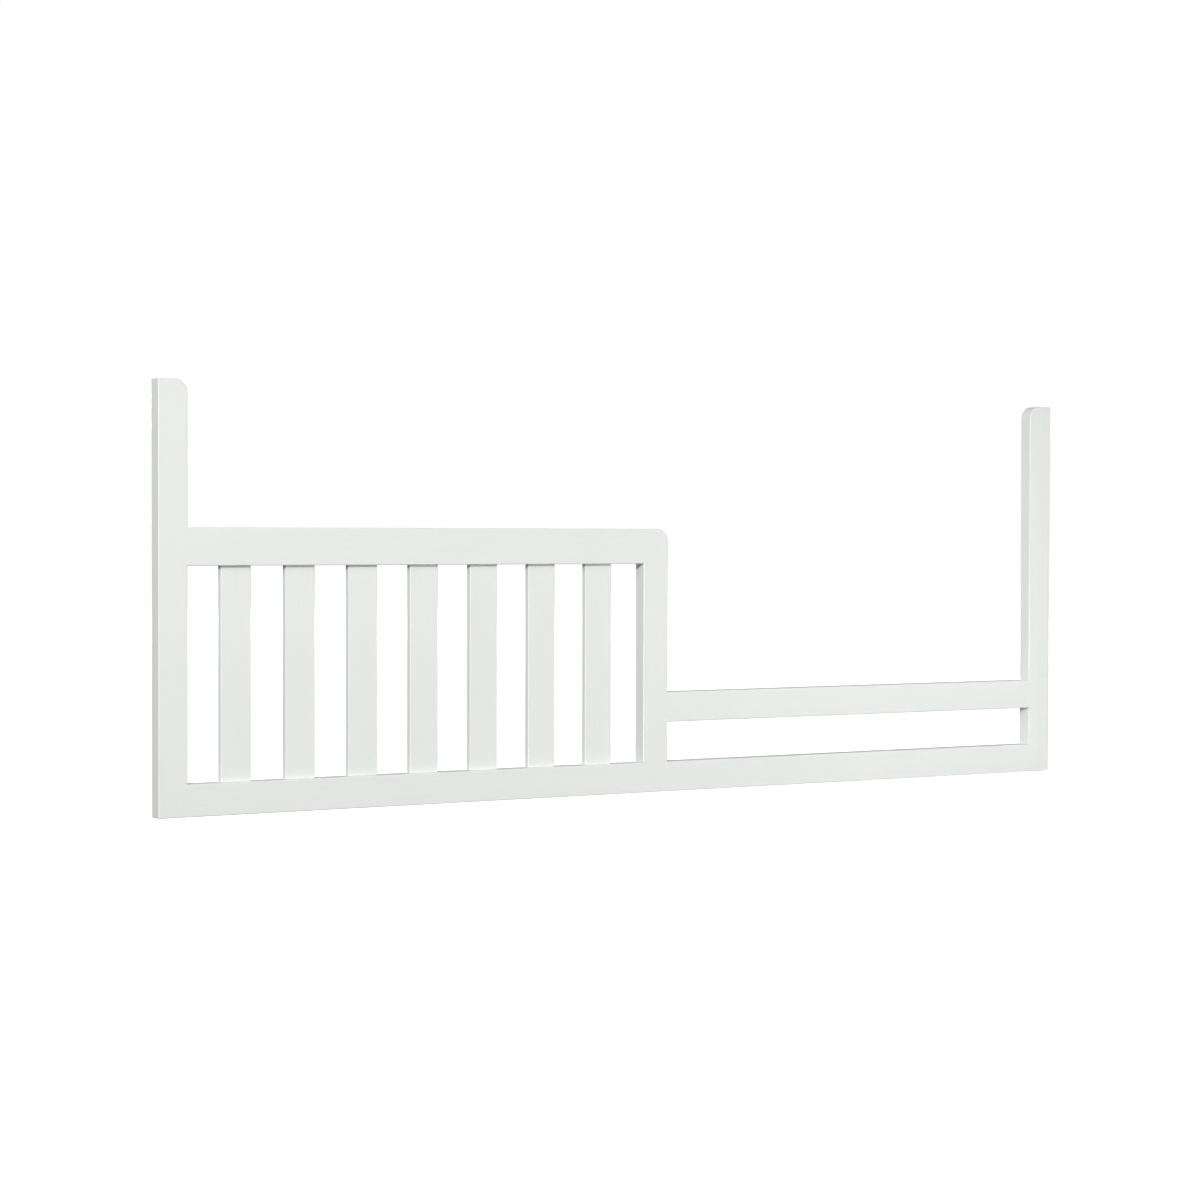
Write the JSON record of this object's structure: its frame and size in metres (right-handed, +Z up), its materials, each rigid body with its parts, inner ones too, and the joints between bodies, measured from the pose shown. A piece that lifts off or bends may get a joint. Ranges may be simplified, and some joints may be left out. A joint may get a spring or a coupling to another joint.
{
  "type": "toddler bed guard rail",
  "caption": "Painted wooden panel that replaces a crib's front side: a slatted guard at one end, a low entry at the other, and tall end posts that bolt to the crib.",
  "frame": {"origin": "middle of the panel's underside, halfway along it and halfway through its thickness", "axes": "+X along the panel towards the entry end, +Y out of the back face that meets the crib (the front faces -Y), +Z up"},
  "size_m": [1.32, 0.019, 0.4955],
  "materials": {
    "white_paint": "satin white paint on solid wood",
    "beech_dowel": "bare turned beech",
    "brass_insert": "zinc-plated, turned"
  },
  "bodies": {
    "root": {"left_post": "white_paint", "right_post": "white_paint", "mid_post": "white_paint", "bottom_rail": "white_paint", "guard_rail": "white_paint", "entry_rail": "white_paint", "slat_1": "white_paint", "slat_2": "white_paint", "slat_3": "white_paint", "slat_4": "white_paint", "slat_5": "white_paint", "slat_6": "white_paint", "slat_7": "white_paint", "dowel_left_post_bottom_rail_1": "beech_dowel", "dowel_left_post_bottom_rail_2": "beech_dowel", "dowel_left_post_guard_rail_1": "beech_dowel", "dowel_left_post_guard_rail_2": "beech_dowel", "dowel_mid_post_bottom_rail_1": "beech_dowel", "dowel_mid_post_bottom_rail_2": "beech_dowel", "dowel_mid_post_guard_rail_1": "beech_dowel", "dowel_mid_post_guard_rail_2": "beech_dowel", "dowel_mid_post_entry_rail_1": "beech_dowel", "dowel_mid_post_entry_rail_2": "beech_dowel", "dowel_right_post_bottom_rail_1": "beech_dowel", "dowel_right_post_bottom_rail_2": "beech_dowel", "dowel_right_post_entry_rail_1": "beech_dowel", "dowel_right_post_entry_rail_2": "beech_dowel", "threaded_insert_left_post_lower": "brass_insert", "threaded_insert_left_post_upper": "brass_insert", "threaded_insert_right_post_lower": "brass_insert", "threaded_insert_right_post_upper": "brass_insert"}
  },
  "joints": []
}
